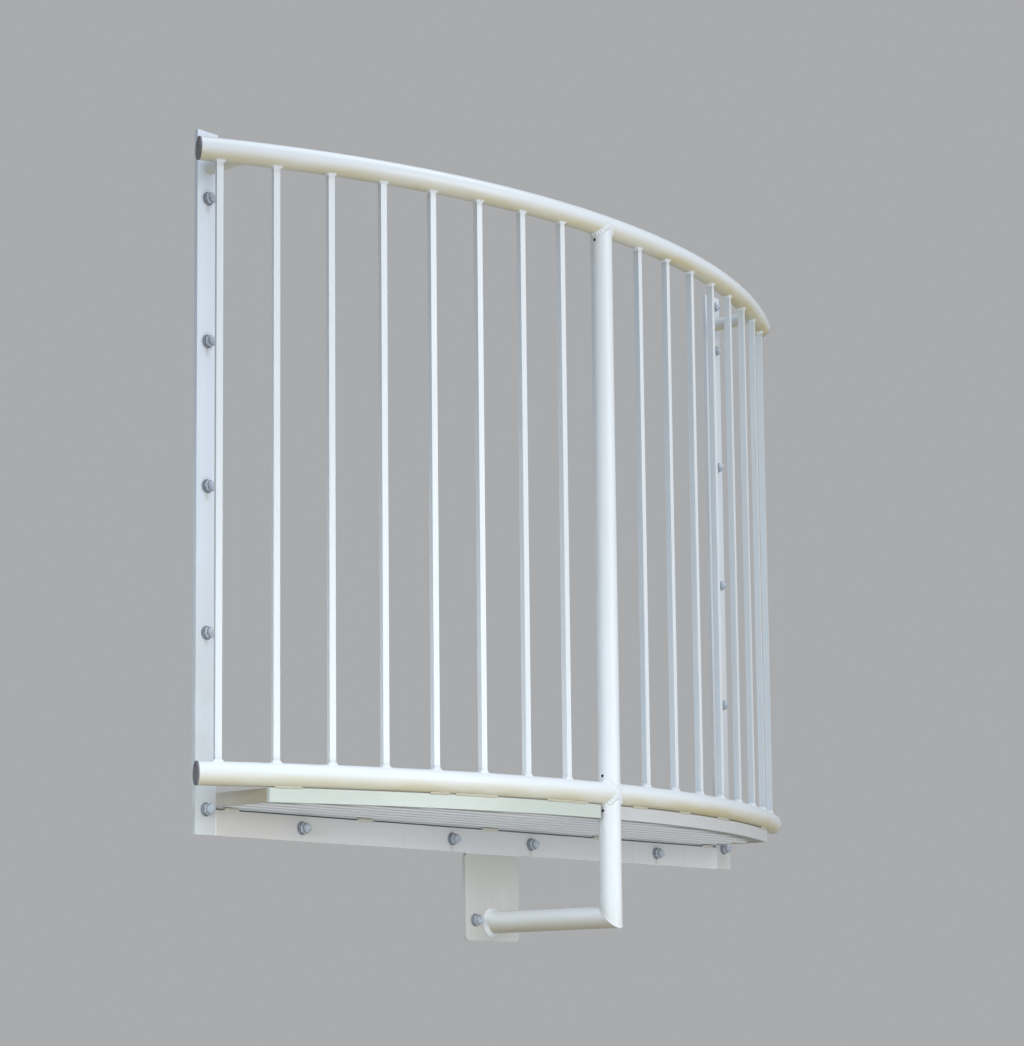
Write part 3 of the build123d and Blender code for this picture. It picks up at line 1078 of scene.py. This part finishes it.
def plate_finishes():
    """Paint of the flat bars on the wall, each with its own white as painted light and shade.
    """
    soiling_and_shade = {"film_and_shade": plate_film_and_shade, "haze_and_shade": PLATE_DUST_AND_SHADE, "amount": 0.68, "streaks": 0.06}
    return {
        "left_wall_plate": white_paint("paint_plate", PLATE_WHITE, **soiling_and_shade),
        "right_wall_plate": white_paint("paint_shaded_plate", SHADED_WHITE, **soiling_and_shade),
        "drop_plate": white_paint("paint_low_plate", LOW_WHITE, **soiling_and_shade),
        "sill_wall_plate": white_paint(
            "paint_sill_plate", SILL_WHITE,
            film_and_shade=sill_rings_and_veil, haze_and_shade=SILL_VEIL_BROWN, amount=0.52, streaks=0.06,
        ),
    }


def tube_finishes():
    """Paint of the rails, standoffs, bars, post and strut."""
    tube = white_paint(
        "paint_tube", film_and_shade=tube_underside_dust_and_bounce, amount=0.8, dirt_and_shade=rail_slit_shadow, rust=0.3, peel=0.8
    )
    bar = white_paint(
        "paint_bar", film_and_shade=bar_side_shade, haze_and_shade=COOL_SIDE_SHADE,
        dirt_and_shade=rail_joints, streaks=0.06, peel=0.8,
    )
    post = white_paint(
        "paint_post", film_and_shade=elbow_dust_and_shade, haze_and_shade=STRUT_DUST_AND_SHADE,
        dirt_and_shade=post_bore_shade, tone_and_shade=BORE_SHADE_DARK, peel=0.8,
    )
    strut = white_paint(
        "paint_strut", STRUT_LIT_WHITE, film_and_shade=strut_dust_and_shade, haze_and_shade=STRUT_DUST_AND_SHADE, amount=0.84, peel=0.8
    )
    return {"rail": tube, "standoff": tube, "baluster": bar, "post": post, "strut": strut}


def deck_finishes():
    """Paint of the deck's edging, sheet and bearing strip."""
    return {
        "return": white_paint(
            "paint_return", RETURN_SHADE_WHITE,
            film_and_shade=return_shade, haze_and_shade=RETURN_SHADE_BROWN, amount=0.7, gloss=0.3,
        ),
        "right_deck_edging": white_paint("paint_right_edging", RIGHT_EDGING_SHADE_GREY),
        "left_deck_edging": white_paint("paint_edging", EDGING_SHADE_WHITE),
        "sheet": white_paint(
            "paint_sheet", RIB_LIT_WHITE, film_and_shade=rim_shadow_line, haze_and_shade=GRIME_AND_SHADE, amount=0.85,
            dirt_and_shade=rib_underside_shade, tone_and_shade=SOFFIT_SHADE_GREY, gloss=0.0,
        ),
        "strip": white_paint("paint_strip", dirt_and_shade=strip_shadow, tone_and_shade=OXIDE_AND_SHADE_DARK, gloss=0.0),
    }


def dress_frame():
    """Gives every CAD node the finish whose key is the first in its name."""
    finishes = {"cap": cap_plastic()}
    finishes.update(plate_finishes())
    finishes.update(tube_finishes())
    finishes.update(deck_finishes())
    for name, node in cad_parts.items():
        finish = next(finish for key, finish in finishes.items() if key in name)
        node.data.materials.clear()
        node.data.materials.append(finish)


# World and floor
BACKDROP = (0.40, 0.405, 0.415, 1)
SKY_TINT = (0.84, 0.97, 1.15, 1)
SKY_BASE = 0.06
SKY_GAIN = 0.45
SKY_SPAN = (-0.05, 0.8)
FRONT_GAIN = 0.40
FRONT_SPAN = (0.35, 0.98)
BRIGHT_SIDE = (0.0, -1.0, 0.0)
FLOOR_DROP = 1.0
FLOOR_SEEN = (0.40, 0.405, 0.41, 1)
FLOOR_BOUNCE = (0.56, 0.54, 0.49, 1)
FLOOR_FADE = (3.0, 9.0)
FLOOR_RADIUS = 40


def seen_ray(n):
    """One for rays that show the backdrop: camera, glossy and transmission rays."""
    rays = n.add("ShaderNodeLightPath").outputs
    kinds = ("Is Camera Ray", "Is Glossy Ray", "Is Transmission Ray")
    return n.most(*[rays[kind] for kind in kinds])


def build_world():
    """A soft sky, brighter overhead and in front, that is seen as a plain backdrop."""
    world = bpy.data.worlds.new("studio")
    bpy.context.scene.world = world
    n = Nodes(world, "ShaderNodeOutputWorld")
    direction = n.add("ShaderNodeTexCoord").outputs["Generated"]
    high = n.ramp(n.axes(direction)[2], *SKY_SPAN, 0.0, SKY_GAIN)
    front = n.ramp(n.dot(direction, BRIGHT_SIDE), *FRONT_SPAN, 0.0, FRONT_GAIN)
    light = n.add("ShaderNodeBackground")
    n.set(light, 0, SKY_TINT)
    n.set(light, 1, n.plus(n.plus(high, front), SKY_BASE))
    shown = n.add("ShaderNodeBackground")
    n.set(shown, 0, BACKDROP)
    both = n.mix_shaders(seen_ray(n), light.outputs[0], shown.outputs[0])
    n.link(both, n.output.inputs[0])


def floor_material():
    """Matt floor that melts into the backdrop far off and is clear from below."""
    material = bpy.data.materials.new("studio_floor")
    n = Nodes(material)
    position = n.add("ShaderNodeTexCoord").outputs["Object"]
    far = n.ramp(n.length(n.stretch(position, (1, 1, 0))), *FLOOR_FADE)
    matt = n.add("ShaderNodeBsdfDiffuse")
    n.link(n.mix(seen_ray(n), FLOOR_BOUNCE, FLOOR_SEEN), matt.inputs[0])
    glow = n.add("ShaderNodeEmission")
    n.set(glow, 0, BACKDROP)
    top = n.mix_shaders(n.times(far, seen_ray(n)), matt.outputs[0], glow.outputs[0])
    clear = n.add("ShaderNodeBsdfTransparent")
    under = n.add("ShaderNodeNewGeometry").outputs["Backfacing"]
    both = n.mix_shaders(n.times(under, seen_ray(n)), top, clear.outputs[0])
    n.link(both, n.output.inputs[0])
    return material


def build_floor():
    """A round floor below the balcony."""
    bm = bmesh.new()
    bmesh.ops.create_circle(bm, cap_ends=True, segments=96, radius=FLOOR_RADIUS)
    mesh = bpy.data.meshes.new("studio_floor")
    bm.to_mesh(mesh)
    bm.free()
    floor = bpy.data.objects.new("studio_floor", mesh)
    floor.location.z = CAD_BOX[0].z - FLOOR_DROP
    mesh.materials.append(floor_material())
    bpy.context.scene.collection.objects.link(floor)


# Lamps
COOL = (0.84, 0.945, 1.0)
PLAIN = (0.965, 0.985, 1.0)
WARM = (1.0, 0.99, 0.98)


def area_lamp(name, place, target, size, power, colour, mirrored=False, spread=180):
    """A rectangular lamp that faces its target and is not seen itself."""
    data = bpy.data.lights.new(name, "AREA")
    data.shape = "RECTANGLE"
    data.size, data.size_y = size
    data.energy = power
    data.color = colour
    data.spread = math.radians(spread)
    lamp = bpy.data.objects.new(name, data)
    lamp.location = place
    aim = Vector(target) - Vector(place)
    lamp.rotation_mode = "QUATERNION"
    lamp.rotation_quaternion = aim.to_track_quat("-Z", "Y")
    lamp.visible_camera = False
    lamp.visible_glossy = mirrored
    bpy.context.scene.collection.objects.link(lamp)


def build_lights():
    """Broad lamps round the balcony, and low ones for the deck and the strut."""
    middle = (0, -0.1, 0.5)
    deck = (0, 0, 0)
    strut = (0, -0.15, STRUT_Z)
    area_lamp("key_softbox", (-0.6, -5.2, 1.1), middle, (3.0, 2.6), 82, PLAIN)
    area_lamp("fill_softbox", (1.4, -5.4, 1.6), middle, (2.2, 3.2), 44, PLAIN, mirrored=True)
    area_lamp("side_softbox", (-4.8, -0.8, 1.6), middle, (1.0, 3.0), 6, COOL, mirrored=True)
    area_lamp("top_softbox", (0.2, -1.0, 4.6), middle, (4.0, 3.0), 56, COOL, mirrored=True)
    area_lamp("low_softbox", (-2.7, -3.3, -0.5), deck, (2.6, 1.0), 16, PLAIN)
    area_lamp("under_softbox", (0, -0.8, -1.1), deck, (2.4, 0.8), 2.4, PLAIN)
    area_lamp("strut_softbox", (-2.6, -1.1, 0.25), strut, (0.8, 0.8), 2.0, COOL, spread=50)
    area_lamp("rear_softbox", (3.4, 4.4, 2.6), middle, (4.0, 3.0), 120, WARM)


# The camera solved from the photograph
CAMERA_PLACE = (-4.078, -3.567, -0.386)
CAMERA_YAW = math.radians(49.342)
CAMERA_PITCH = math.radians(7.419)
CAMERA_ROLL = math.radians(-0.607)
FOCAL_PIXELS = 2762.5
IMAGE_LONG_SIDE = 1046
SENSOR_WIDTH = 36.0
CAMERA_SHIFT_Y = 0.15


def build_camera():
    """The camera that took the photograph."""
    data = bpy.data.cameras.new("photo_camera")
    data.sensor_width = SENSOR_WIDTH
    data.lens = SENSOR_WIDTH * FOCAL_PIXELS / IMAGE_LONG_SIDE
    data.shift_y = CAMERA_SHIFT_Y
    data.clip_start, data.clip_end = 0.05, 200
    forward = Vector(
        (
            math.sin(CAMERA_YAW) * math.cos(CAMERA_PITCH),
            math.cos(CAMERA_YAW) * math.cos(CAMERA_PITCH),
            math.sin(CAMERA_PITCH),
        )
    )
    level = Vector((math.cos(CAMERA_YAW), -math.sin(CAMERA_YAW), 0))
    up = level.cross(forward)
    right = level * math.cos(CAMERA_ROLL) + up * math.sin(CAMERA_ROLL)
    up = up * math.cos(CAMERA_ROLL) - level * math.sin(CAMERA_ROLL)
    turn = Matrix((right, up, -forward)).transposed()
    camera = bpy.data.objects.new("photo_camera", data)
    camera.matrix_world = Matrix.Translation(CAMERA_PLACE) @ turn.to_4x4()
    bpy.context.scene.collection.objects.link(camera)
    bpy.context.scene.camera = camera


dress_frame()
build_welds()
build_anchors()
build_world()
build_floor()
build_lights()
build_camera()
bpy.context.scene.view_settings.view_transform = "Standard"
